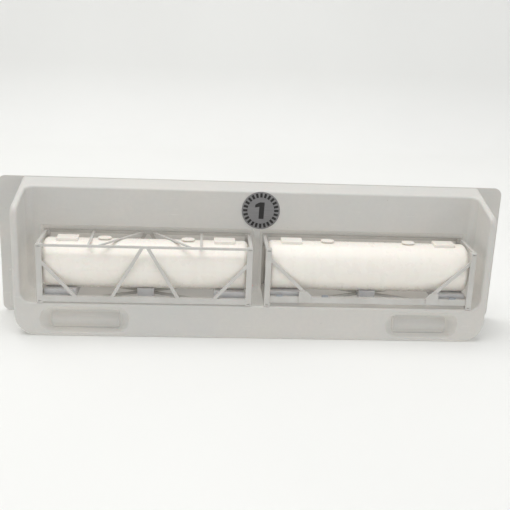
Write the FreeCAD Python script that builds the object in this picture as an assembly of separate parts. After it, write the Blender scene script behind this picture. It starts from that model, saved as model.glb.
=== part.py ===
import FreeCAD, Part
import math
import os

# Display tray of thin formed sheet that holds two model tank containers side by side.
# Each container is an assembly of a two-part tank in an open frame, and slides out of the
# tray's front. Millimetres. X runs along the tray, Z is up, and the open front faces -Y.
# The origin is under the middle of the tray, on the surface that it stands on.

# Full-size containers are 9125 x 2438 x 2591 mm, modelled at 1:87.
MODEL_SCALE = 87.0
BOX_LENGTH = 9125.0 / MODEL_SCALE
BOX_WIDTH = 2438.0 / MODEL_SCALE
BOX_HEIGHT = 2591.0 / MODEL_SCALE
BOX_GAP = 6.5                  # between the two containers
RUNNING_GAP = 0.1              # container above the ledge that it slides on
BOX_SHIFT = 1.7                # middle of the two containers, to the right of the tray's

# Tray sheet
SHEET = 1.0
LEDGE_HEIGHT = 17.5            # ledge that the containers stand on
END_SPACE = 6.45               # container's end to the recess's side wall, mean of the two sides
SIDE_STRIP = 3.4               # front strip beside the recess
EAR = 12.7                     # rear sheet beyond the body's sides
HEADROOM = 17.9                # container's top to the upper edge of the front
TOP_RISE = 7.8                 # slope of the top, from front to rear
REAR_HOLLOW = 5.9              # behind the pockets
BODY_CORNER = 11.0
EAR_CORNER = 4.0
RECESS_CORNER = 5.0
EDGE_ROUND = 1.5
TOP_ROUND = 4.5                # where the sloping top meets the front
MOUTH_ROUND = 1.2              # where the recess meets the front and the sloping top
PANEL_FILLET = 4.0

# Pockets behind the recess, one for each container
PANEL_ABOVE_REAR = 4.2         # upper panel stands this far in front of a container's rear
POCKET_BACK = 0.6
POCKET_HEAD = 3.2
POCKET_END = 1.2
POCKET_ROUND = 0.8
RIB_WIDTH = 3.2                # wall left between the pockets

# Finger grips in the front below the ledge: side, space to the body's end, mouth length, floor length
GRIPS = {"left": (-1, 12.5, 43.8, 34.7), "right": (1, 14.0, 37.1, 28.0)}
GRIP_DEPTH = 6.6
GRIP_BELOW_LEDGE = 2.0
GRIP_ABOVE_BASE = 2.1
GRIP_SLOPE = 3.8               # floor's upper edge below the mouth's
GRIP_FLOOR_CORNER = 2.5
GRIP_ROUND = 0.5
PAD_HEIGHT = 2.2               # bulge of a grip's floor
PAD_BORDER = 0.6               # floor left flat round the bulge
HALF_ROUND = 0.49              # corner as a share of the height, for an end that is all but half round

# Snap boss on each ear
BOSS_LENGTH = 20.0
BOSS_WIDTH = 5.0
BOSS_HEIGHT = 0.8
BOSS_BASE = 3.0

# Round number disc on the upper panel
DISC_DIAMETER = 19.5
DISC_THICKNESS = 0.3
DISC_MIDDLE = 1.4              # to the right of the middle of the containers
DISC_EDGE = 0.0                # below the panel's upper edge

# End frames
POST_WIDTH = 2.8
POST_DEPTH = 3.0
POST_WEB = 1.1
END_WEB = 1.3
CASTING_HEIGHT = 2.2
CASTING_SLOT = (1.4, 0.8)
SLOT_DEPTH = 0.5
END_RAIL = 1.6
TOP_END_RAIL_HEIGHT = 2.0
BOTTOM_END_RAIL_HEIGHT = 2.4
END_GUSSET = 4.0
END_GUSSET_THICKNESS = 0.8

# Bottom side rails are channels, open inwards
RAIL_WEB = 0.8
RAIL_FLANGE = 1.8
RAIL_FLANGE_THICKNESS = 0.7
TOP_RAIL = 1.1
REAR_TOP_RAIL = 1.5
BRACE_THICKNESS = 0.9
BRACE_WIDTH = 1.6
CENTRE_BRACE_TOP = 1.5         # centre braces: middle of each foot, top and bottom
CENTRE_BRACE_FOOT = 16.0
TOP_BAR_WIDTH = 1.2
TOP_BAR_INSIDE_LID = 6.3       # middle of a top bar to the inner end of the lid
DIAGONAL_INSIDE_BAR = 5.2      # diagonal's front foot to the top bar, middle to middle
DIAGONAL_REAR = 2.5

# Tank: a cylinder with dished ends, in two half shells. It is as wide as its frame leaves room for.
TANK_SIDE_SPACE = 1.6          # tank to the outside of the frame
TANK_WALL = 0.8
KNUCKLE_RADIUS = 2.6
CROWN_RADIUS = 60.0
TANK_END_SPACE = 0.9           # tank's tip to the container's end
SEAT_GAP = 0.03                # saddles, lids and caps to the tank's skin
ROOF_BAR = 0.63                # thickness of the bars across the top
ROOF_GAP = 0.05                # top bars above the tank

# Saddles and floor braces
SADDLE_LENGTH = 15.4
SADDLE_WIDTH = 22.0
SADDLE_END_SPACE = 3.1
SADDLE_LIP = 1.9               # saddle's top above the tank's lowest line
MIDDLE_SADDLE = (8.2, 16.0)
BASE_THICKNESS = 1.2
FLOOR_BRACE_WIDTH = 1.2
FLOOR_BRACE_SPACE = 2.0        # middle of a brace's foot to the end saddle

# Lids and caps on the tank
LID_END_SPACE = 7.4            # lid's outer end to the tank's tip
LID_SIZE = (10.6, 7.0)
LID_HEIGHT = 1.0
LID_CORNER = 0.7
CAP_INSIDE_BAR = 6.6           # middle of a cap to the middle of the top bar
CAP_SIZE = (6.7, 4.6)
CAP_NECK = (4.2, 3.0)
CAP_PLATE = 0.6
SKIN_SAG = 2.0                 # depth to which lids and caps reach down the tank's sides

# The two containers differ in the height of their side rails and tank, and in their bracing.
# tank_base is the tank's lowest line, and a brace's drop and run are from the post's head and side.
LEFT = {"rail_base": 0.6, "rail_height": 3.0, "rail_setback": 0.0,
        "tank_base": 4.3, "brace_drop": 9.3, "brace_run": 15.3}
RIGHT = {"rail_base": 2.0, "rail_height": 3.2, "rail_setback": 0.5,
         "tank_base": 5.2, "brace_drop": 5.7, "brace_run": 19.5}
GUSSET_SPAN = (1.2, 5.1)       # right container's side gussets, inward and outward of the brace
GUSSET_HEIGHT = 3.0            # above the rail
GUSSET_SLOPE = 2.2
LATCHES = ((-1, 4.7), (-1, 27.6), (1, 7.0))     # side, and middle's distance from the post
LATCH_SIZE = (3.2, 0.8, 0.9)

HALF_LENGTH = BOX_LENGTH / 2
RECESS_HALF = BOX_GAP / 2 + BOX_LENGTH + END_SPACE
BODY_HALF = RECESS_HALF + SIDE_STRIP
TRAY_HALF = BODY_HALF + EAR
PANEL_DEPTH = BOX_WIDTH - PANEL_ABOVE_REAR
POCKET_DEPTH = BOX_WIDTH + POCKET_BACK
TRAY_DEPTH = POCKET_DEPTH + SHEET + REAR_HOLLOW
FRONT_HEIGHT = LEDGE_HEIGHT + BOX_HEIGHT + HEADROOM
TRAY_HEIGHT = FRONT_HEIGHT + TOP_RISE
TOP_SLOPE = TOP_RISE / TRAY_DEPTH
POCKET_TOP = LEDGE_HEIGHT + BOX_HEIGHT + POCKET_HEAD
FRONT_Y = -TRAY_DEPTH / 2
REAR_Y = TRAY_DEPTH / 2
BOX_CENTRE = (BOX_GAP + BOX_LENGTH) / 2
POST_INNER = HALF_LENGTH - POST_WIDTH
TANK_HEAD = BOX_HEIGHT - ROOF_BAR - ROOF_GAP - LEFT["tank_base"]
TANK_RADIUS = min(BOX_WIDTH / 2 - TANK_SIDE_SPACE, TANK_HEAD / 2)
TANK_TIP = HALF_LENGTH - TANK_END_SPACE
LID_MIDDLE = TANK_TIP - LID_END_SPACE - LID_SIZE[0] / 2
TOP_BAR_MIDDLE = LID_MIDDLE - LID_SIZE[0] / 2 - TOP_BAR_INSIDE_LID
CAP_MIDDLE = TOP_BAR_MIDDLE - CAP_INSIDE_BAR
DIAGONAL_FRONT = TOP_BAR_MIDDLE - DIAGONAL_INSIDE_BAR
CUT = 1.0                      # how far a cutter runs past the face that it cuts
NEAR = 0.01                    # how close counts as the same place, when edges are picked


def vector(x, y, z):
    return FreeCAD.Vector(x, y, z)


def box(x_range, y_range, z_range):
    size = [pair[1] - pair[0] for pair in (x_range, y_range, z_range)]
    return Part.makeBox(*size, vector(x_range[0], y_range[0], z_range[0]))


def prism(points, direction):
    """Extrudes a closed outline of straight sides along a vector."""
    wire = Part.makePolygon(points + [points[0]])
    return Part.Face(wire).extrude(direction)


def side_prism(points, y_range):
    """Extrudes an outline of (x, z) points along Y."""
    corners = [vector(x, y_range[0], z) for x, z in points]
    return prism(corners, vector(0, y_range[1] - y_range[0], 0))


def plan_prism(points, z_range):
    """Extrudes an outline of (x, y) points along Z."""
    corners = [vector(x, y, z_range[0]) for x, y in points]
    return prism(corners, vector(0, 0, z_range[1] - z_range[0]))


def cross_prism(points, x_range):
    """Extrudes an outline of (y, z) points along X."""
    corners = [vector(x_range[0], y, z) for y, z in points]
    return prism(corners, vector(x_range[1] - x_range[0], 0, 0))


def fuse_all(shapes):
    whole = shapes[0].fuse(shapes[1:]) if len(shapes) > 1 else shapes[0]
    return whole.removeSplitter()


def mirrored_in_x(shape):
    return shape.mirror(vector(0, 0, 0), vector(1, 0, 0))


def mirrored_in_y(shape):
    return shape.mirror(vector(0, BOX_WIDTH / 2, 0), vector(0, 1, 0))


def round_edges(shape, radius, chosen):
    """Rounds the edges whose bounding box the chosen() test accepts."""
    edges = [edge for edge in shape.Edges if chosen(edge.BoundBox)]
    return shape.makeFillet(radius, edges)


def rounded_outline(x_range, z_range, radius, y, low_only=False):
    """A rectangle in the XZ plane with four equal round corners, or round at the bottom only."""
    (x0, x1), (z0, z1) = x_range, z_range
    corners = [(x0, z0, 180.0), (x1, z0, 270.0)]
    if not low_only:
        corners += [(x1, z1, 0.0), (x0, z1, 90.0)]
    half = math.sqrt(0.5) * radius
    edges = []
    spots = []
    for x, z, start in corners:
        cx = x + radius if x == x0 else x - radius
        cz = z + radius if z == z0 else z - radius
        first = math.radians(start)
        last = math.radians(start + 90.0)
        a = vector(cx + radius * math.cos(first), y, cz + radius * math.sin(first))
        b = vector(cx + radius * math.cos(last), y, cz + radius * math.sin(last))
        middle = vector(cx + math.copysign(half, x - cx), y, cz + math.copysign(half, z - cz))
        spots.append((a, middle, b))
    if low_only:
        spots += [(vector(x1, y, z1), None, vector(x1, y, z1))]
        spots += [(vector(x0, y, z1), None, vector(x0, y, z1))]
    for index, (a, middle, b) in enumerate(spots):
        if middle is not None:
            edges.append(Part.Arc(a, middle, b).toShape())
        following = spots[(index + 1) % len(spots)][0]
        edges.append(Part.makeLine(b, following))
    return Part.Wire(edges)


def slab(x_half, z_range, radius, y_range):
    """A plate that is round at its two lower corners, extruded along Y."""
    wire = rounded_outline((-x_half, x_half), z_range, radius, y_range[0], low_only=True)
    return Part.Face(wire).extrude(vector(0, y_range[1] - y_range[0], 0))


# ---- Tray ----

def under_roof(shrink, y_range):
    """The space under the tray's sloping top, lowered by shrink, from one Y to another."""
    drop = shrink * math.hypot(1.0, TOP_SLOPE)
    roof = [FRONT_HEIGHT + TOP_SLOPE * (y - FRONT_Y) - drop for y in y_range]
    outline = [(y_range[0], shrink), (y_range[0], roof[0]), (y_range[1], roof[1]), (y_range[1], shrink)]
    return cross_prism(outline, (-TRAY_HALF, TRAY_HALF))


def on_front_or_roof_side(edge, shrink):
    """Whether an edge's bounds lie in the body's front, or on a side of its rounded, sloping top."""
    on_side = min(abs(edge.XMin), abs(edge.XMax)) > BODY_HALF - shrink - NEAR
    above = edge.ZMin > FRONT_HEIGHT - 2 * TOP_ROUND and edge.YLength > NEAR
    return edge.YMax < FRONT_Y + shrink + NEAR or (on_side and above)


def body_block(shrink):
    """The tray's body as a solid block; shrink gives the hollow inside its sheet."""
    rear = REAR_Y if shrink == 0 else REAR_Y + CUT
    y_range = (FRONT_Y + shrink, rear)
    block = slab(BODY_HALF - shrink, (shrink, TRAY_HEIGHT + CUT), BODY_CORNER - shrink, y_range)
    block = block.common(under_roof(shrink, y_range))
    front = FRONT_Y + shrink
    corner = lambda b: b.YMax < front + NEAR and b.ZMin > FRONT_HEIGHT - 2 * SHEET
    block = round_edges(block, TOP_ROUND - shrink, corner)
    return round_edges(block, EDGE_ROUND - shrink, lambda b: on_front_or_roof_side(b, shrink))


def recess_block(grow, front):
    """The recess in front of the upper panel; grow gives the outside of its sheet."""
    y_range = (front, FRONT_Y + PANEL_DEPTH + grow)
    top = TRAY_HEIGHT + 2 * CUT
    block = slab(RECESS_HALF + grow, (LEDGE_HEIGHT - grow, top), RECESS_CORNER + grow, y_range)
    rear = y_range[1]
    radius = PANEL_FILLET + grow
    return round_edges(block, radius, lambda b: b.YMin > rear - NEAR and b.ZMin < top - CUT)


def pocket_block(side, grow, front):
    """The deeper pocket behind one container."""
    inner = RIB_WIDTH / 2 - grow
    outer = BOX_GAP / 2 + BOX_LENGTH + POCKET_END + grow
    near, far = BOX_SHIFT + side * inner, BOX_SHIFT + side * outer
    x_range = (min(near, far), max(near, far))
    rear = FRONT_Y + POCKET_DEPTH + grow
    block = box(x_range, (front, rear), (LEDGE_HEIGHT - grow, POCKET_TOP + grow))
    return round_edges(block, POCKET_ROUND + grow, lambda b: b.YMin > rear - NEAR)


def grip_block(grip, grow, front):
    """A finger grip that tapers from a long round mouth to a smaller floor."""
    side, end_space, mouth, floor = grip
    middle = side * (BODY_HALF - end_space - mouth / 2)
    mouth_top = LEDGE_HEIGHT - GRIP_BELOW_LEDGE
    reach = (FRONT_Y - front) / GRIP_DEPTH
    wires = []
    for share in (-reach, 1.0):
        half = (mouth + (floor - mouth) * share) / 2 + grow
        low = GRIP_ABOVE_BASE - grow
        high = mouth_top - GRIP_SLOPE * share + grow
        corner = (high - low) * HALF_ROUND if share < 1.0 else GRIP_FLOOR_CORNER + grow
        y = FRONT_Y + GRIP_DEPTH * share + (grow if share == 1.0 else 0.0)
        wires.append(rounded_outline((middle - half, middle + half), (low, high), corner, y))
    return Part.makeLoft(wires, True, True)


def grip_pad(grip, shrink):
    """The bulge on a grip's floor, an arc from its lower edge to its upper one; shrink gives its hollow."""
    side, end_space, mouth, floor = grip
    middle = side * (BODY_HALF - end_space - mouth / 2)
    half = floor / 2 - PAD_BORDER
    low = GRIP_ABOVE_BASE + PAD_BORDER
    high = LEDGE_HEIGHT - GRIP_BELOW_LEDGE - GRIP_SLOPE - PAD_BORDER
    radius = ((high - low) ** 2 / 4 + PAD_HEIGHT ** 2) / (2 * PAD_HEIGHT)
    axis_y = FRONT_Y + GRIP_DEPTH - PAD_HEIGHT + radius
    start = vector(middle - half + shrink, axis_y, (low + high) / 2)
    roll = Part.makeCylinder(radius - shrink, 2 * (half - shrink), start, vector(1, 0, 0))
    rear = FRONT_Y + GRIP_DEPTH + SHEET + CUT
    return roll.common(box((middle - half, middle + half), (FRONT_Y, rear), (low - SHEET, high + SHEET)))


def rear_sheet():
    """The flat sheet round the body's open back, with an ear at each side."""
    y_range = (REAR_Y - SHEET, REAR_Y)
    outline = rounded_outline((-TRAY_HALF, TRAY_HALF), (0.0, TRAY_HEIGHT), EAR_CORNER, y_range[0])
    return Part.Face(outline).extrude(vector(0, SHEET, 0))


def snap_boss(side):
    """A low raised pad on an ear's front face."""
    middle = side * (BODY_HALF + EAR / 2)
    base = REAR_Y - SHEET
    x_range = (middle - BOSS_WIDTH / 2, middle + BOSS_WIDTH / 2)
    block = box(x_range, (base - BOSS_HEIGHT, base + SHEET / 2), (BOSS_BASE, BOSS_BASE + BOSS_LENGTH))
    return round_edges(block, BOSS_HEIGHT / 2, lambda b: b.YMax < base - BOSS_HEIGHT + NEAR)


def on_recess_mouth(edge):
    """Whether an edge's bounds lie on the smooth loop where the recess meets the front and top."""
    reach = max(abs(edge.XMin), abs(edge.XMax))
    inside = reach < RECESS_HALF + NEAR and edge.YMax < FRONT_Y + PANEL_DEPTH + NEAR
    on_front = edge.YMax < FRONT_Y + NEAR and edge.ZMin > LEDGE_HEIGHT - NEAR
    on_top = edge.ZMin > FRONT_HEIGHT - 2 * TOP_ROUND
    return inside and (on_front or on_top)


def on_grip_mouth(edge):
    """Whether an edge's bounds lie on the front, between the base's round edge and the ledge."""
    between = edge.ZMin > EDGE_ROUND + NEAR and edge.ZMax < LEDGE_HEIGHT - NEAR
    return edge.YMax < FRONT_Y + NEAR and between


def tray_shell():
    outer = body_block(0.0)
    hollow = body_block(SHEET)
    inside = FRONT_Y + SHEET / 2
    outside = FRONT_Y - CUT
    tubs = [recess_block(SHEET, inside)]
    voids = [recess_block(0.0, outside)]
    for side in (-1, 1):
        tubs.append(pocket_block(side, SHEET, inside))
        voids.append(pocket_block(side, 0.0, outside))
    for grip in GRIPS.values():
        tubs.append(grip_block(grip, SHEET, FRONT_Y).cut(grip_pad(grip, SHEET)))
        voids.append(grip_block(grip, 0.0, outside).cut(grip_pad(grip, 0.0)))
    shell = outer.cut(hollow)
    lining = fuse_all(tubs).common(outer)
    sheet = rear_sheet().cut(hollow)
    bosses = [snap_boss(side) for side in (-1, 1)]
    shell = fuse_all([shell, lining, sheet] + bosses)
    for void in voids:
        shell = shell.cut(void)
    shell = round_edges(shell.removeSplitter(), MOUTH_ROUND, on_recess_mouth)
    return round_edges(shell, GRIP_ROUND, on_grip_mouth)


def number_disc():
    panel = FRONT_Y + PANEL_DEPTH
    panel_top = FRONT_HEIGHT + TOP_SLOPE * PANEL_DEPTH
    middle = vector(BOX_SHIFT + DISC_MIDDLE, panel, panel_top - DISC_EDGE - DISC_DIAMETER / 2)
    return Part.makeCylinder(DISC_DIAMETER / 2, DISC_THICKNESS, middle, vector(0, -1, 0))


# ---- Containers: built at the origin, with the front face at y = 0 and the bottom at z = 0 ----

def tank_middle(style):
    return style["tank_base"] + TANK_RADIUS


def tank_crest(style):
    return style["tank_base"] + 2 * TANK_RADIUS


def tank_half(style, upper):
    """One half of the tank: a profile of barrel, knuckles and crowns, turned half round."""
    def profile(shrink):
        radius = TANK_RADIUS - shrink
        knuckle = KNUCKLE_RADIUS - shrink
        crown = CROWN_RADIUS - shrink
        rise = TANK_RADIUS - KNUCKLE_RADIUS
        reach = math.sqrt((CROWN_RADIUS - KNUCKLE_RADIUS) ** 2 - rise ** 2)
        crown_x = TANK_TIP - CROWN_RADIUS
        knuckle_x = crown_x + reach
        lean = math.atan2(rise, reach)
        join = (crown_x + crown * math.cos(lean), crown * math.sin(lean))
        crown_mid = (crown_x + crown * math.cos(lean / 2), crown * math.sin(lean / 2))
        half = (lean + math.pi / 2) / 2
        bend = (knuckle_x + knuckle * math.cos(half), rise + knuckle * math.sin(half))
        end = (knuckle_x, radius)
        tip = (crown_x + crown, 0.0)
        return tip, crown_mid, join, bend, end

    def run(points, side):
        return [vector(side * x, r, 0) for x, r in points]

    outer, inner = profile(0.0), profile(TANK_WALL)
    edges = []
    for points in (outer, inner):
        for side in (-1, 1):
            tip, crown_mid, join, bend, end = run(points, side)
            edges.append(Part.Arc(tip, crown_mid, join).toShape())
            edges.append(Part.Arc(join, bend, end).toShape())
        edges.append(Part.makeLine(run(points, -1)[4], run(points, 1)[4]))
    for side in (-1, 1):
        edges.append(Part.makeLine(run(outer, side)[0], run(inner, side)[0]))
    face = Part.Face(Part.Wire(Part.__sortEdges__(edges)))
    turn = 180 if upper else -180
    half = face.revolve(vector(0, 0, 0), vector(1, 0, 0), turn)
    half.translate(vector(0, BOX_WIDTH / 2, tank_middle(style)))
    return half


def tank_skin(style, gap):
    """A plain cylinder round the tank's barrel, used to cut the seats of what touches it."""
    start = vector(-HALF_LENGTH, BOX_WIDTH / 2, tank_middle(style))
    return Part.makeCylinder(TANK_RADIUS + gap, BOX_LENGTH, start, vector(1, 0, 0))


def casting(base):
    """A corner casting with a slot in its side face and in its end face."""
    z_range = (base, base + CASTING_HEIGHT)
    block = box((POST_INNER, HALF_LENGTH), (0, POST_DEPTH), z_range)
    long, high = (size / 2 for size in CASTING_SLOT)
    middle = (POST_INNER + HALF_LENGTH) / 2
    z_slot = (base + CASTING_HEIGHT / 2 - high, base + CASTING_HEIGHT / 2 + high)
    side_slot = box((middle - long, middle + long), (-CUT, SLOT_DEPTH), z_slot)
    y_slot = (POST_DEPTH / 2 - long, POST_DEPTH / 2 + long)
    end_slot = box((HALF_LENGTH - SLOT_DEPTH, HALF_LENGTH + CUT), y_slot, z_slot)
    return block.cut(side_slot).cut(end_slot)


def corner_post():
    """An angle-section post with a casting at its foot and head."""
    section = [(HALF_LENGTH, 0), (POST_INNER, 0), (POST_INNER, POST_WEB),
               (HALF_LENGTH - END_WEB, POST_WEB), (HALF_LENGTH - END_WEB, POST_DEPTH),
               (HALF_LENGTH, POST_DEPTH)]
    post = plan_prism(section, (CASTING_HEIGHT / 2, BOX_HEIGHT - CASTING_HEIGHT / 2))
    return [post, casting(0.0), casting(BOX_HEIGHT - CASTING_HEIGHT)]


def end_frame(side):
    """Two posts, a rail across the top and the bottom, and a gusset in each upper corner."""
    front = fuse_all(corner_post())
    inner = HALF_LENGTH - END_RAIL
    y_range = (POST_DEPTH / 2, BOX_WIDTH - POST_DEPTH / 2)
    top = box((inner, HALF_LENGTH), y_range, (BOX_HEIGHT - TOP_END_RAIL_HEIGHT, BOX_HEIGHT))
    low = CASTING_HEIGHT - BOTTOM_END_RAIL_HEIGHT / 2
    bottom = box((inner, HALF_LENGTH), y_range, (low, low + BOTTOM_END_RAIL_HEIGHT))
    under = BOX_HEIGHT - TOP_END_RAIL_HEIGHT
    root = POST_DEPTH / 2
    reach = POST_DEPTH + END_GUSSET
    corner = [(root, under), (reach, under), (POST_DEPTH, under - END_GUSSET), (root, under - END_GUSSET)]
    gusset = cross_prism(corner, (HALF_LENGTH - END_GUSSET_THICKNESS, HALF_LENGTH))
    frame = fuse_all([front, mirrored_in_y(front), top, bottom, gusset, mirrored_in_y(gusset)])
    return frame if side > 0 else mirrored_in_x(frame)


def bottom_rail(style):
    """The front side rail: a channel between the two end frames, open inwards."""
    y0 = style["rail_setback"]
    z0 = style["rail_base"]
    z1 = z0 + style["rail_height"]
    web, reach = y0 + RAIL_WEB, y0 + RAIL_FLANGE
    edge = RAIL_FLANGE_THICKNESS
    section = [(y0, z0), (reach, z0), (reach, z0 + edge), (web, z0 + edge),
               (web, z1 - edge), (reach, z1 - edge), (reach, z1), (y0, z1)]
    return cross_prism(section, (-POST_INNER, POST_INNER))


def end_brace(style, side):
    """A flat bar from a corner post down to the top of the side rail."""
    y0 = style["rail_setback"]
    rail_top = style["rail_base"] + style["rail_height"]
    top = BOX_HEIGHT - style["brace_drop"]
    foot = POST_INNER - style["brace_run"]
    rise = top - rail_top
    length = math.hypot(rise, style["brace_run"])
    up = BRACE_WIDTH / 2 * length / style["brace_run"]
    along = BRACE_WIDTH / 2 * length / rise
    points = [(POST_INNER, top + up), (POST_INNER, top - up),
              (foot + along, rail_top), (foot - along, rail_top)]
    bar = side_prism(points, (y0, y0 + BRACE_THICKNESS))
    return bar if side > 0 else mirrored_in_x(bar)


def centre_brace(style, side, top_rail_size):
    """A flat bar from the middle of a top rail out to the bottom side rail."""
    rail_top = style["rail_base"] + style["rail_height"]
    ceiling = BOX_HEIGHT - top_rail_size
    run = CENTRE_BRACE_FOOT - CENTRE_BRACE_TOP
    half = BRACE_WIDTH / 2 * math.hypot(run, ceiling - rail_top) / (ceiling - rail_top)
    points = [(CENTRE_BRACE_TOP - half, ceiling), (CENTRE_BRACE_TOP + half, ceiling),
              (CENTRE_BRACE_FOOT + half, rail_top), (CENTRE_BRACE_FOOT - half, rail_top)]
    bar = side_prism(points, (0, BRACE_THICKNESS))
    return bar if side > 0 else mirrored_in_x(bar)


def top_rail(size, rear):
    """A square bar between the end frames' upper castings."""
    y_range = (BOX_WIDTH - size, BOX_WIDTH) if rear else (0, size)
    return box((-POST_INNER, POST_INNER), y_range, (BOX_HEIGHT - size, BOX_HEIGHT))


def top_bar(side):
    """A flat bar across the top, from the front top rail to the rear one."""
    middle = side * TOP_BAR_MIDDLE
    x_range = (middle - TOP_BAR_WIDTH / 2, middle + TOP_BAR_WIDTH / 2)
    return box(x_range, (TOP_RAIL, BOX_WIDTH - REAR_TOP_RAIL), (BOX_HEIGHT - ROOF_BAR, BOX_HEIGHT))


def top_diagonal(side):
    """A flat bar from the front top rail in to the middle of the rear one."""
    front, rear = TOP_RAIL, BOX_WIDTH - REAR_TOP_RAIL
    run = DIAGONAL_FRONT - DIAGONAL_REAR
    half = TOP_BAR_WIDTH / 2 * math.hypot(run, rear - front) / (rear - front)
    points = [(DIAGONAL_FRONT - half, front), (DIAGONAL_FRONT + half, front),
              (DIAGONAL_REAR + half, rear), (DIAGONAL_REAR - half, rear)]
    bar = plan_prism(points, (BOX_HEIGHT - ROOF_BAR, BOX_HEIGHT))
    return bar if side > 0 else mirrored_in_x(bar)


def base_range(style):
    """Height of the plates that lie in the side rails' channels."""
    low = style["rail_base"] + RAIL_FLANGE_THICKNESS
    return low, low + BASE_THICKNESS


def saddle(style, x_range, width):
    """A block hollowed to the tank, on a plate that reaches into both side rails."""
    edge = style["rail_setback"] + RAIL_WEB
    low, high = base_range(style)
    plate = box(x_range, (edge, BOX_WIDTH - edge), (low, high))
    lip = style["tank_base"] + SADDLE_LIP
    middle = BOX_WIDTH / 2
    block = box(x_range, (middle - width / 2, middle + width / 2), (high, lip))
    return fuse_all([plate, block]).cut(tank_skin(style, SEAT_GAP))


def end_saddle(style, side):
    outer = HALF_LENGTH - SADDLE_END_SPACE
    part = saddle(style, (outer - SADDLE_LENGTH, outer), SADDLE_WIDTH)
    return part if side > 0 else mirrored_in_x(part)


def middle_saddle(style):
    length, width = MIDDLE_SADDLE
    return saddle(style, (-length / 2, length / 2), width)


def floor_braces(style):
    """Four flat arms from the side rails in to the middle saddle's plate."""
    edge = style["rail_setback"] + RAIL_WEB
    near = MIDDLE_SADDLE[0] / 2
    run = HALF_LENGTH - SADDLE_END_SPACE - SADDLE_LENGTH - FLOOR_BRACE_SPACE
    slope = (BOX_WIDTH / 2 - edge) / run
    half = FLOOR_BRACE_WIDTH / 2 * math.hypot(1.0, slope) / slope
    foot_y = BOX_WIDTH / 2 - slope * near
    half_y = half * slope
    points = [(run - half, edge), (run + half, edge), (near, foot_y + half_y), (near, foot_y - half_y)]
    arm = plan_prism(points, base_range(style))
    pair = [arm, mirrored_in_x(arm)]
    return Part.makeCompound(pair + [mirrored_in_y(item) for item in pair])


def lid(style, side):
    """A flat rectangular lid on the tank's crest."""
    long, wide = (size / 2 for size in LID_SIZE)
    middle = side * LID_MIDDLE
    crest = tank_crest(style)
    y = BOX_WIDTH / 2
    top = crest + LID_HEIGHT
    block = box((middle - long, middle + long), (y - wide, y + wide), (crest - SKIN_SAG, top))
    block = round_edges(block, LID_CORNER, lambda b: b.ZLength > LID_HEIGHT)
    block = round_edges(block, LID_HEIGHT / 4, lambda b: b.ZMin > top - NEAR)
    return block.cut(tank_skin(style, SEAT_GAP))


def oval(middle, size, z_range):
    """An upright oval prism with half-round ends."""
    long, wide = (value / 2 for value in size)
    y = BOX_WIDTH / 2
    straight = long - wide
    bar = box((middle - straight, middle + straight), (y - wide, y + wide), z_range)
    height = z_range[1] - z_range[0]
    ends = [Part.makeCylinder(wide, height, vector(middle + turn * straight, y, z_range[0]))
            for turn in (-1, 1)]
    return fuse_all([bar] + ends)


def cap(style, side):
    """A valve cap: an oval plate on a narrower neck."""
    middle = side * CAP_MIDDLE
    crest = tank_crest(style)
    top = crest + LID_HEIGHT
    neck = oval(middle, CAP_NECK, (crest - SKIN_SAG / 2, top - CAP_PLATE))
    plate = oval(middle, CAP_SIZE, (top - CAP_PLATE, top))
    plate = round_edges(plate, CAP_PLATE / 3, lambda b: b.ZMin > top - NEAR)
    return fuse_all([neck, plate]).cut(tank_skin(style, SEAT_GAP))


def side_gusset(style, side):
    """A thin plate over the rail and the foot of an end brace."""
    foot = POST_INNER - style["brace_run"]
    low = style["rail_base"] + RAIL_FLANGE_THICKNESS / 2
    high = style["rail_base"] + style["rail_height"] + GUSSET_HEIGHT
    inner, outer = foot - GUSSET_SPAN[0], foot + GUSSET_SPAN[1]
    points = [(inner, low), (outer, low), (outer, high), (inner + GUSSET_SLOPE, high),
              (inner, high - GUSSET_SLOPE)]
    plate = side_prism(points, (0, style["rail_setback"]))
    return plate if side > 0 else mirrored_in_x(plate)


def rail_latches(style):
    """Small latches on the front rail's upper flange."""
    length, depth, height = LATCH_SIZE
    base = style["rail_base"] + style["rail_height"]
    y0 = style["rail_setback"]
    blocks = []
    for side, space in LATCHES:
        x = side * (POST_INNER - space)
        x_range = (x - length / 2, x + length / 2)
        blocks.append(box(x_range, (y0, y0 + depth), (base, base + height)))
    return Part.makeCompound(blocks)


def shared_pieces(style):
    """What both containers have. Of a pair along X, a is the piece at the low end and b at the high."""
    rail = bottom_rail(style)
    pieces = {
        "tank_upper": tank_half(style, True),
        "tank_lower": tank_half(style, False),
        "front_bottom_rail": rail,
        "rear_bottom_rail": mirrored_in_y(rail),
        "rear_top_rail": top_rail(REAR_TOP_RAIL, True),
        "middle_saddle": middle_saddle(style),
        "floor_braces": floor_braces(style),
    }
    for side, end in ((-1, "a"), (1, "b")):
        brace = end_brace(style, side)
        pieces["end_frame_" + end] = end_frame(side)
        pieces["front_end_brace_" + end] = brace
        pieces["rear_end_brace_" + end] = mirrored_in_y(brace)
        pieces["end_saddle_" + end] = end_saddle(style, side)
        pieces["lid_" + end] = lid(style, side)
        pieces["valve_cap_" + end] = cap(style, side)
    return pieces


def left_container():
    """The left container also has a front top rail, centre braces and a braced top."""
    pieces = shared_pieces(LEFT)
    pieces["front_top_rail"] = top_rail(TOP_RAIL, False)
    for side, end in ((-1, "a"), (1, "b")):
        front_brace = centre_brace(LEFT, side, TOP_RAIL)
        rear_brace = mirrored_in_y(centre_brace(LEFT, side, REAR_TOP_RAIL))
        pieces["front_centre_brace_" + end] = front_brace
        pieces["rear_centre_brace_" + end] = rear_brace
        pieces["top_bar_" + end] = top_bar(side)
        pieces["top_diagonal_" + end] = top_diagonal(side)
    return pieces


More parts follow.
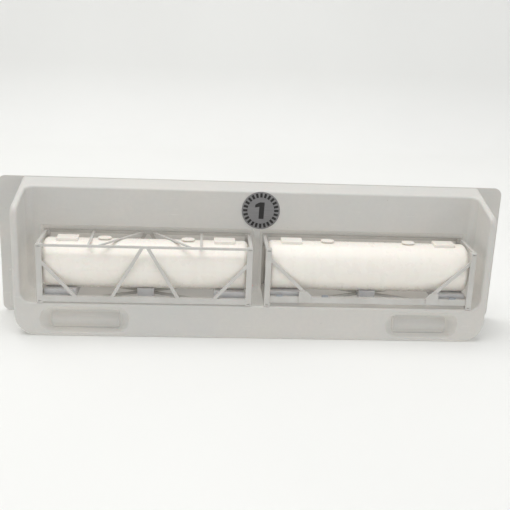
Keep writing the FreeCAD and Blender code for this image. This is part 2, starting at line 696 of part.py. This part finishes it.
def right_container():
    """The right container has an open front top, side gussets and latches."""
    pieces = shared_pieces(RIGHT)
    pieces["rail_latches"] = rail_latches(RIGHT)
    for side, end in ((-1, "a"), (1, "b")):
        gusset = side_gusset(RIGHT, side)
        pieces["front_gusset_" + end] = gusset
        pieces["rear_gusset_" + end] = mirrored_in_y(gusset)
    return pieces


def placed(pieces, name, side):
    """Names a container's pieces after its place, and moves them into the tray."""
    move = vector(BOX_SHIFT + side * BOX_CENTRE, FRONT_Y, LEDGE_HEIGHT + RUNNING_GAP)
    moved = {}
    for piece, shape in pieces.items():
        shape.translate(move)
        moved[name + "_" + piece] = shape
    return moved


def build():
    parts = {"tray_shell": tray_shell(), "number_disc": number_disc()}
    parts.update(placed(left_container(), "left", -1))
    parts.update(placed(right_container(), "right", 1))
    return parts


os.makedirs("parts", exist_ok=True)
for node, solid in build().items():
    solid.exportStep("parts/" + node + ".step")
    print(node, len(solid.Solids), solid.isValid(), round(solid.Volume, 2))
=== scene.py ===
import math

import bmesh
import bpy
from mathutils import Matrix, Vector


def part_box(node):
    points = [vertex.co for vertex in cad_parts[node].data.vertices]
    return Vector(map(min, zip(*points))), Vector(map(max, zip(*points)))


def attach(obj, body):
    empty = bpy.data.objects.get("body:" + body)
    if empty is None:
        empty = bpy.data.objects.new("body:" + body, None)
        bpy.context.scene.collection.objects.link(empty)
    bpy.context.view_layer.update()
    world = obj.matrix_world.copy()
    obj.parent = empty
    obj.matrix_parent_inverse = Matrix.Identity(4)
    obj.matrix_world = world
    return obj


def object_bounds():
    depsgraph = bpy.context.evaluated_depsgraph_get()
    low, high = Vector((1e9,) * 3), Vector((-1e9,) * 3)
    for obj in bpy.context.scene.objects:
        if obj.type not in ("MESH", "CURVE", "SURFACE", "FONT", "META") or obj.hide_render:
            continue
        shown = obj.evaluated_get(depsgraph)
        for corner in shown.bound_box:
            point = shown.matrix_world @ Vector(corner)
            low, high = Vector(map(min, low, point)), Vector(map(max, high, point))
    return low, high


# Looks for the display tray with two model tank containers. The object is made of moulded and
# formed plastics, so most of the work is in their surfaces: sheet that waves a little, smooth
# gloss with faint flow lines, and edges softened as moulded edges are. Metres throughout.
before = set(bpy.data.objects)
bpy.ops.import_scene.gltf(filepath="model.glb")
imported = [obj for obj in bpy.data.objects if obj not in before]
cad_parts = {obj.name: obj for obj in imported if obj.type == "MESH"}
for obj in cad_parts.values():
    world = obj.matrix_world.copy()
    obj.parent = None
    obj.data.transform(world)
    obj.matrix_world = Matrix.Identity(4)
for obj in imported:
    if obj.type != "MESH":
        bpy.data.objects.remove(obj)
cad_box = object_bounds()

MM = 0.001

# Camera: where it stands, how it is turned, and its lens
CAMERA_PLACE = Vector((-28.2, -419.5, 170.6)) * MM
CAMERA_YAW = math.radians(3.94)
CAMERA_PITCH = math.radians(17.41)
CAMERA_ROLL = math.radians(2.42)
CAMERA_RANGE = (0.01, 20.0)
LENS = 61.0
SENSOR = 36.0

# Floor that curves up into a wall behind the object
FLOOR_REACH = 6.0                  # to each side and to the front
WALL_PLACE = 0.56
WALL_TOP = 1.6
WALL_BEND = 0.08
WALL_BEND_STEPS = 10

# Lights: name, place, target, size, power, tint
SKY_TINT = (0.96, 0.98, 1.0, 1.0)
SKY_STRENGTH = 0.45
OBJECT_MIDDLE = (0.0, 0.0, 0.04)
LIGHTS = (
    ("overhead", (-0.15, 0.0, 1.1), OBJECT_MIDDLE, (1.4, 1.0), 9.8, (1.0, 0.99, 0.97)),
    ("front_low", (-0.1, -1.2, 0.3), OBJECT_MIDDLE, (1.4, 0.6), 0.5, (1.0, 0.99, 0.96)),
    ("side_left", (-0.75, -0.45, 0.3), (-0.1, 0.0, 0.05), (0.4, 0.3), 0.6, (1.0, 0.99, 0.97)),
    ("side_right", (1.0, -0.5, 0.4), OBJECT_MIDDLE, (0.6, 0.5), 1.8, (0.99, 0.99, 1.0)),
)

# Radius by which the shading softens the edges of a surface
FRAME_EDGE = 0.14 * MM
SHEET_EDGE = 0.3 * MM
TANK_EDGE = 0.12 * MM
FILM_EDGE = 0.08 * MM
EDGE_SAMPLES = 6

# Painted light on the thin sheet, an emission that lightens it where it is covered and stands in for
# light through the sheet: how far it looks for cover, and how strong it is
GLOW_REACH = 34 * MM
GLOW_STRENGTH = 0.17
GLOW_SAMPLES = 8
SHADED = (0.05, 0.8)               # openness over which the glow fades out
DEEP = (0.0, 0.35)                 # the same for what is added in the deepest places

# Spans of a noise's values that a mix of colours or a roughness follows from end to end
WIDE = (0.3, 0.7)
MIDDLE = (0.35, 0.65)

# Printed numeral and ring of ticks on the disc, as shares of its diameter
INK_THICKNESS = 0.02 * MM
NUMERAL_HEIGHT = 0.445
NUMERAL_SHIFT = -0.035
STEM_WIDTH = 0.132
FLAG_REACH = 0.11
NUMERAL_LEAN = math.radians(2.0)
TICKS = 24
TICK_INNER = 0.35
TICK_OUTER = 0.465
TICK_WIDTH = 0.062

# The numeral's flag: its root on the stem's top, as a share of half the stem's width, the fall
# of its upper edge, and the heights of its lower edge, as shares of half the numeral's height
FLAG_ROOT = 0.35
FLAG_CURVED_FALL = 0.28
FLAG_CURVE = 1.6
FLAG_STRAIGHT_FALL = 0.06
FLAG_TIP_BASE = 0.34
FLAG_STEM_BASE = 0.46
FLAG_STEPS = 6


# ---- Materials ----

class Tree:
    """A material with a Principled shader, and short ways to add and join nodes."""

    def __init__(self, name):
        self.material = bpy.data.materials.new(name)
        self.material.use_nodes = True
        self.nodes = self.material.node_tree.nodes
        self.links = self.material.node_tree.links
        self.shader = self.nodes["Principled BSDF"]
        self.place = self.nodes.new("ShaderNodeTexCoord").outputs["Object"]

    def add(self, kind, inputs=None, **settings):
        node = self.nodes.new(kind)
        for key, value in settings.items():
            setattr(node, key, value)
        for key, value in (inputs or {}).items():
            self.put(node.inputs[key], value)
        return node

    def put(self, socket, value):
        if isinstance(value, bpy.types.NodeSocket):
            self.links.new(value, socket)
        else:
            socket.default_value = value

    def set(self, **values):
        for key, value in values.items():
            self.put(self.shader.inputs[key.replace("_", " ")], value)

    def noise(self, size, detail=2.0, roughness=0.5, stretch=(1, 1, 1), seed=(0, 0, 0)):
        """Noise with features about size metres across, drawn out by stretch along each axis."""
        scale = tuple(1 / (size * s) for s in stretch)
        mapping = self.add("ShaderNodeMapping",
                           {"Vector": self.place, "Location": seed, "Scale": scale})
        inputs = {"Vector": mapping.outputs[0], "Scale": 1.0,
                  "Detail": detail, "Roughness": roughness}
        return self.add("ShaderNodeTexNoise", inputs).outputs["Fac"]

    def spots(self, size, radius, seed=(0, 0, 0)):
        """Small round spots, one in each cell of about size metres, with a radius in cells."""
        mapping = self.add("ShaderNodeMapping", {"Vector": self.place, "Location": seed,
                                                 "Scale": (1 / size,) * 3})
        cells = self.add("ShaderNodeTexVoronoi", {"Vector": mapping.outputs[0], "Scale": 1.0})
        return self.ramp(cells.outputs["Distance"], (radius, radius * 0.6), 0.0, 1.0)

    def ramp(self, value, span, first, last):
        """Goes from first to last while the value goes through the span, and stays there."""
        low, high = span
        inputs = {"Value": value, "From Min": low, "From Max": high,
                  "To Min": first, "To Max": last}
        return self.add("ShaderNodeMapRange", inputs, clamp=True).outputs["Result"]

    def mix(self, factor, first, second):
        node = self.add("ShaderNodeMix", {"Factor": factor}, data_type="RGBA")
        self.put(node.inputs[6], first)
        self.put(node.inputs[7], second)
        return node.outputs[2]

    def blend(self, noise, span, share, first, second):
        """The first colour, with up to this share of the second where the noise is high."""
        return self.mix(self.ramp(noise, span, 0.0, share), first, second)

    def sum(self, first, second):
        return self.add("ShaderNodeMath", {0: first, 1: second}, operation="ADD").outputs[0]

    def product(self, first, second):
        return self.add("ShaderNodeMath", {0: first, 1: second}, operation="MULTIPLY").outputs[0]

    def bump(self, heights, edge=0.0):
        """Chains bumps, each a height from 0 to 1 and its depth, over edges softened by edge."""
        normal = None
        if edge:
            soft = self.add("ShaderNodeBevel", {"Radius": edge}, samples=EDGE_SAMPLES)
            normal = soft.outputs["Normal"]
        for height, depth in heights:
            node = self.add("ShaderNodeBump", {"Height": height, "Distance": depth, "Strength": 1.0})
            if normal is not None:
                self.put(node.inputs["Normal"], normal)
            normal = node.outputs["Normal"]
        self.put(self.shader.inputs["Normal"], normal)

    def painted_glow(self, shade):
        """Painted light: a faint emission of the sheet's own colour where it is covered, standing in
        for light through thin sheet.
        """
        cover = self.add("ShaderNodeAmbientOcclusion", {"Distance": GLOW_REACH},
                         samples=GLOW_SAMPLES)
        openness = cover.outputs["AO"]
        strength = self.sum(self.ramp(openness, SHADED, GLOW_STRENGTH, 0.0),
                            self.ramp(openness, DEEP, GLOW_STRENGTH, 0.0))
        self.set(Emission_Color=shade, Emission_Strength=strength)


def colour(red, green, blue):
    """An sRGB colour from 0 to 255 as the shader's linear one."""
    values = []
    for value in (red, green, blue):
        share = value / 255
        values.append(share / 12.92 if share <= 0.04045 else ((share + 0.055) / 1.055) ** 2.4)
    return (*values, 1.0)


def formed_sheet():
    """Thin vacuum-formed sheet: satin, gently wavy, with soft mottle, scuffs and a few specks."""
    light, pale = colour(205, 204, 200), colour(211, 208, 202)
    grain, scuffed, speck = colour(199, 198, 195), colour(232, 231, 227), colour(168, 163, 152)
    t = Tree("formed_sheet")
    shade = t.blend(t.noise(38 * MM, 3.0), MIDDLE, 1.0, light, pale)
    shade = t.blend(t.noise(2.2 * MM, 4.0, 0.6), WIDE, 0.35, shade, grain)
    streaks = t.noise(3 * MM, 5.0, 0.65, stretch=(5, 1, 0.35), seed=(7, 3, 1))
    scuffs = t.ramp(streaks, (0.62, 0.74), 0.0, 1.0)
    shade = t.mix(t.product(scuffs, 0.35), shade, scuffed)
    shade = t.mix(t.product(t.spots(9 * MM, 0.035, seed=(3, 5, 2)), 0.5), shade, speck)
    rough = t.ramp(t.noise(14 * MM, 3.0), WIDE, 0.30, 0.42)
    t.set(Base_Color=shade, Roughness=t.sum(rough, t.product(scuffs, 0.15)), IOR=1.5)
    t.set(Subsurface_Weight=0.06, Subsurface_Scale=1.5 * MM)
    t.bump([(t.noise(45 * MM, 1.5), 0.5 * MM), (t.noise(9 * MM, 2.0), 0.03 * MM),
            (t.noise(0.45 * MM, 2.0), 0.003 * MM)], SHEET_EDGE)
    # painted light: an emission lightens the sheet in its covered hollows
    t.painted_glow(shade)
    return t.material


def gloss_plastic():
    """The tanks' moulded white plastic: smooth, glossy and warm, with faint flow lines round it."""
    white, cream, mottled = colour(246, 241, 233), colour(240, 233, 224), colour(242, 235, 226)
    t = Tree("tank_gloss")
    flow_lines = t.noise(2.2 * MM, 2.0, 0.5, stretch=(1, 90, 90))
    shade = t.blend(flow_lines, WIDE, 0.35, white, cream)
    shade = t.blend(t.noise(16 * MM, 2.0), (0.4, 0.7), 0.4, shade, mottled)
    rough = t.ramp(t.noise(7 * MM, 3.0), WIDE, 0.24, 0.33)
    t.set(Base_Color=shade, Roughness=rough, IOR=1.5)
    t.set(Subsurface_Weight=0.1, Subsurface_Scale=1.0 * MM)
    t.bump([(flow_lines, 0.0008 * MM), (t.noise(14 * MM, 0.0), 0.004 * MM)], TANK_EDGE)
    return t.material


def satin_plastic(name, light, dark, roughness, seed):
    """Moulded satin plastic: soft mottle of two close shades, under a fine grain."""
    t = Tree(name)
    shade = t.blend(t.noise(11 * MM, 3.0, seed=seed), MIDDLE, 1.0, light, dark)
    grain = t.noise(0.6 * MM, 3.0, 0.6, seed=seed)
    shade = t.blend(grain, (0.45, 0.75), 0.25, shade, dark)
    t.set(Base_Color=shade, Roughness=t.ramp(t.noise(3 * MM, 3.0, seed=seed), WIDE, *roughness))
    t.set(Subsurface_Weight=0.04, Subsurface_Scale=0.8 * MM)
    t.bump([(t.noise(2.4 * MM, 2.0, seed=seed), 0.008 * MM), (grain, 0.003 * MM)], FRAME_EDGE)
    return t.material


def film():
    """The disc's metallised film: silver-grey, brushed along its length, slightly rippled."""
    grey, silver, clouded = colour(120, 119, 120), colour(138, 137, 137), colour(128, 127, 129)
    t = Tree("disc_film")
    brush = t.noise(0.5 * MM, 4.0, 0.6, stretch=(14, 1, 0.5))
    shade = t.blend(brush, WIDE, 1.0, grey, silver)
    shade = t.blend(t.noise(6 * MM, 2.0), (0.35, 0.7), 0.6, shade, clouded)
    t.set(Base_Color=shade, Metallic=0.25, Roughness=t.ramp(brush, WIDE, 0.38, 0.5))
    t.bump([(t.noise(5 * MM, 1.0), 0.05 * MM), (brush, 0.004 * MM)], FILM_EDGE)
    return t.material


def ink():
    """Black screen-printing ink, a little uneven."""
    t = Tree("print_ink")
    patch = t.noise(0.8 * MM, 3.0, 0.6)
    shade = t.blend(patch, WIDE, 1.0, colour(16, 14, 14), colour(30, 28, 27))
    t.set(Base_Color=shade, Roughness=t.ramp(patch, WIDE, 0.35, 0.55))
    t.bump([(patch, 0.003 * MM)])
    return t.material


def stage_paper():
    """Seamless white paper under and behind the object."""
    t = Tree("stage_paper")
    cloud = t.noise(260 * MM, 2.0)
    shade = t.blend(cloud, MIDDLE, 1.0, colour(240, 240, 238), colour(237, 237, 235))
    t.set(Base_Color=shade, Roughness=0.85)
    t.bump([(t.noise(1.2 * MM, 2.0), 0.01 * MM)])
    return t.material


def dress_nodes():
    """Gives every CAD node the finish of its material slot."""
    finishes = {
        "tray_plastic": formed_sheet(),
        "tank_plastic": gloss_plastic(),
        "frame_plastic": satin_plastic("frame_satin", colour(206, 204, 200), colour(197, 195, 190),
                                       (0.36, 0.5), (1, 4, 2)),
        "saddle_plastic": satin_plastic("saddle_satin", colour(214, 213, 212), colour(204, 203, 204),
                                        (0.42, 0.55), (5, 2, 8)),
        "latch_plastic": satin_plastic("latch_satin", colour(158, 162, 167), colour(140, 145, 151),
                                       (0.42, 0.55), (2, 9, 3)),
        "disc_foil": film(),
    }
    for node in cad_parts.values():
        for place in node.material_slots:
            slot = place.material.name.split(".")[0]
            place.link = "OBJECT"
            place.material = finishes[slot]


# ---- Print on the disc ----

def plate_from(name, outlines, depth, material):
    """Thin closed plates from flat (x, z) outlines, centred on the origin and facing -Y."""
    mesh = bpy.data.meshes.new(name)
    build = bmesh.new()
    for outline in outlines:
        rings = []
        for y in (0.0, -depth):
            rings.append([build.verts.new((x, y, z)) for x, z in outline])
        back, front = rings
        build.faces.new(back)
        build.faces.new(reversed(front))
        count = len(outline)
        for i in range(count):
            j = (i + 1) % count
            build.faces.new((back[j], back[i], front[i], front[j]))
    bmesh.ops.recalc_face_normals(build, faces=build.faces)
    build.to_mesh(mesh)
    build.free()
    mesh.materials.append(material)
    piece = bpy.data.objects.new(name, mesh)
    bpy.context.scene.collection.objects.link(piece)
    return piece


def numeral_outline(size):
    """A bold figure 1: a stem, and a flag that curves down to the left from its top."""
    high = NUMERAL_HEIGHT * size / 2
    stem = STEM_WIDTH * size / 2
    reach = FLAG_REACH * size
    shift = reach / 2 + NUMERAL_SHIFT * size
    left, right = shift - stem, shift + stem
    root, tip = left + FLAG_ROOT * stem, left - reach
    points = [(left, -high), (right, -high), (right, high), (root, high)]
    for i in range(1, FLAG_STEPS + 1):
        share = i / FLAG_STEPS
        fall = FLAG_CURVED_FALL * share ** FLAG_CURVE + FLAG_STRAIGHT_FALL * share
        points.append((root + (tip - root) * share, high - fall * high))
    points += [(tip, FLAG_TIP_BASE * high), (left, FLAG_STEM_BASE * high)]
    cos, sin = math.cos(NUMERAL_LEAN), math.sin(NUMERAL_LEAN)
    return [(x * cos + z * sin, z * cos - x * sin) for x, z in points]


def tick_outlines(size):
    """Short bars set round the disc near its rim, as on a dial."""
    outlines = []
    half = TICK_WIDTH * size / 2
    for i in range(TICKS):
        turn = 2 * math.pi * i / TICKS
        along = Vector((math.sin(turn), math.cos(turn)))
        across = Vector((along.y, -along.x))
        corners = [(TICK_INNER, -1), (TICK_OUTER, -1), (TICK_OUTER, 1), (TICK_INNER, 1)]
        outlines.append([tuple(along * size * r + across * half * s) for r, s in corners])
    return outlines


def print_on_disc(material):
    """Lays the numeral and the ticks on the disc's face."""
    low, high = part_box("number_disc")
    size = high.x - low.x
    middle = Vector(((low.x + high.x) / 2, low.y, (low.z + high.z) / 2))
    for name, outlines in (("disc_numeral", [numeral_outline(size)]),
                           ("disc_ticks", tick_outlines(size))):
        piece = plate_from(name, outlines, INK_THICKNESS, material)
        piece.location = middle
        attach(piece, "tray")


# ---- Stage, lights and camera ----

def sweep():
    """A floor that curves up into a wall behind the object."""
    base = cad_box[0].z
    bend_start = WALL_PLACE - WALL_BEND
    profile = [(-FLOOR_REACH, base), (bend_start, base)]
    for i in range(1, WALL_BEND_STEPS + 1):
        turn = math.pi / 2 * i / WALL_BEND_STEPS
        profile.append((bend_start + WALL_BEND * math.sin(turn),
                        base + WALL_BEND - WALL_BEND * math.cos(turn)))
    profile.append((WALL_PLACE, WALL_TOP))
    mesh = bpy.data.meshes.new("floor")
    points = [(side * FLOOR_REACH, y, z) for y, z in profile for side in (-1, 1)]
    faces = [(2 * i, 2 * i + 1, 2 * i + 3, 2 * i + 2) for i in range(len(profile) - 1)]
    mesh.from_pydata(points, [], faces)
    mesh.polygons.foreach_set("use_smooth", [True] * len(faces))
    floor = bpy.data.objects.new("floor", mesh)
    bpy.context.scene.collection.objects.link(floor)
    mesh.materials.append(stage_paper())


def soft_light(name, place, target, size, power, tint):
    """A rectangular area light that stands at a place and points at a target."""
    light = bpy.data.lights.new(name, "AREA")
    light.shape = "RECTANGLE"
    light.size, light.size_y = size
    light.energy = power
    light.color = tint
    lamp = bpy.data.objects.new(name, light)
    lamp.location = place
    lamp.rotation_euler = (Vector(target) - Vector(place)).to_track_quat("-Z", "Y").to_euler()
    bpy.context.scene.collection.objects.link(lamp)


def light_studio():
    """An even pale sky, and the soft lights."""
    world = bpy.data.worlds.new("studio")
    bpy.context.scene.world = world
    world.use_nodes = True
    sky = world.node_tree.nodes["Background"]
    sky.inputs["Color"].default_value = SKY_TINT
    sky.inputs["Strength"].default_value = SKY_STRENGTH
    for light in LIGHTS:
        soft_light(*light)


def set_camera():
    """Stands the camera in its place, turned by yaw, then pitch, then roll."""
    forward = Vector((math.sin(CAMERA_YAW) * math.cos(CAMERA_PITCH),
                      math.cos(CAMERA_YAW) * math.cos(CAMERA_PITCH), -math.sin(CAMERA_PITCH)))
    level = Vector((math.cos(CAMERA_YAW), -math.sin(CAMERA_YAW), 0.0))
    upright = level.cross(forward)
    right = level * math.cos(CAMERA_ROLL) + upright * math.sin(CAMERA_ROLL)
    up = upright * math.cos(CAMERA_ROLL) - level * math.sin(CAMERA_ROLL)
    turned = Matrix((right, up, -forward)).transposed().to_4x4()
    data = bpy.data.cameras.new("camera")
    data.lens = LENS
    data.sensor_width = SENSOR
    data.clip_start, data.clip_end = CAMERA_RANGE
    camera = bpy.data.objects.new("camera", data)
    camera.matrix_world = Matrix.Translation(CAMERA_PLACE) @ turned
    bpy.context.scene.collection.objects.link(camera)
    bpy.context.scene.camera = camera


dress_nodes()
print_on_disc(ink())
sweep()
light_studio()
set_camera()
bpy.context.scene.view_settings.view_transform = "Standard"
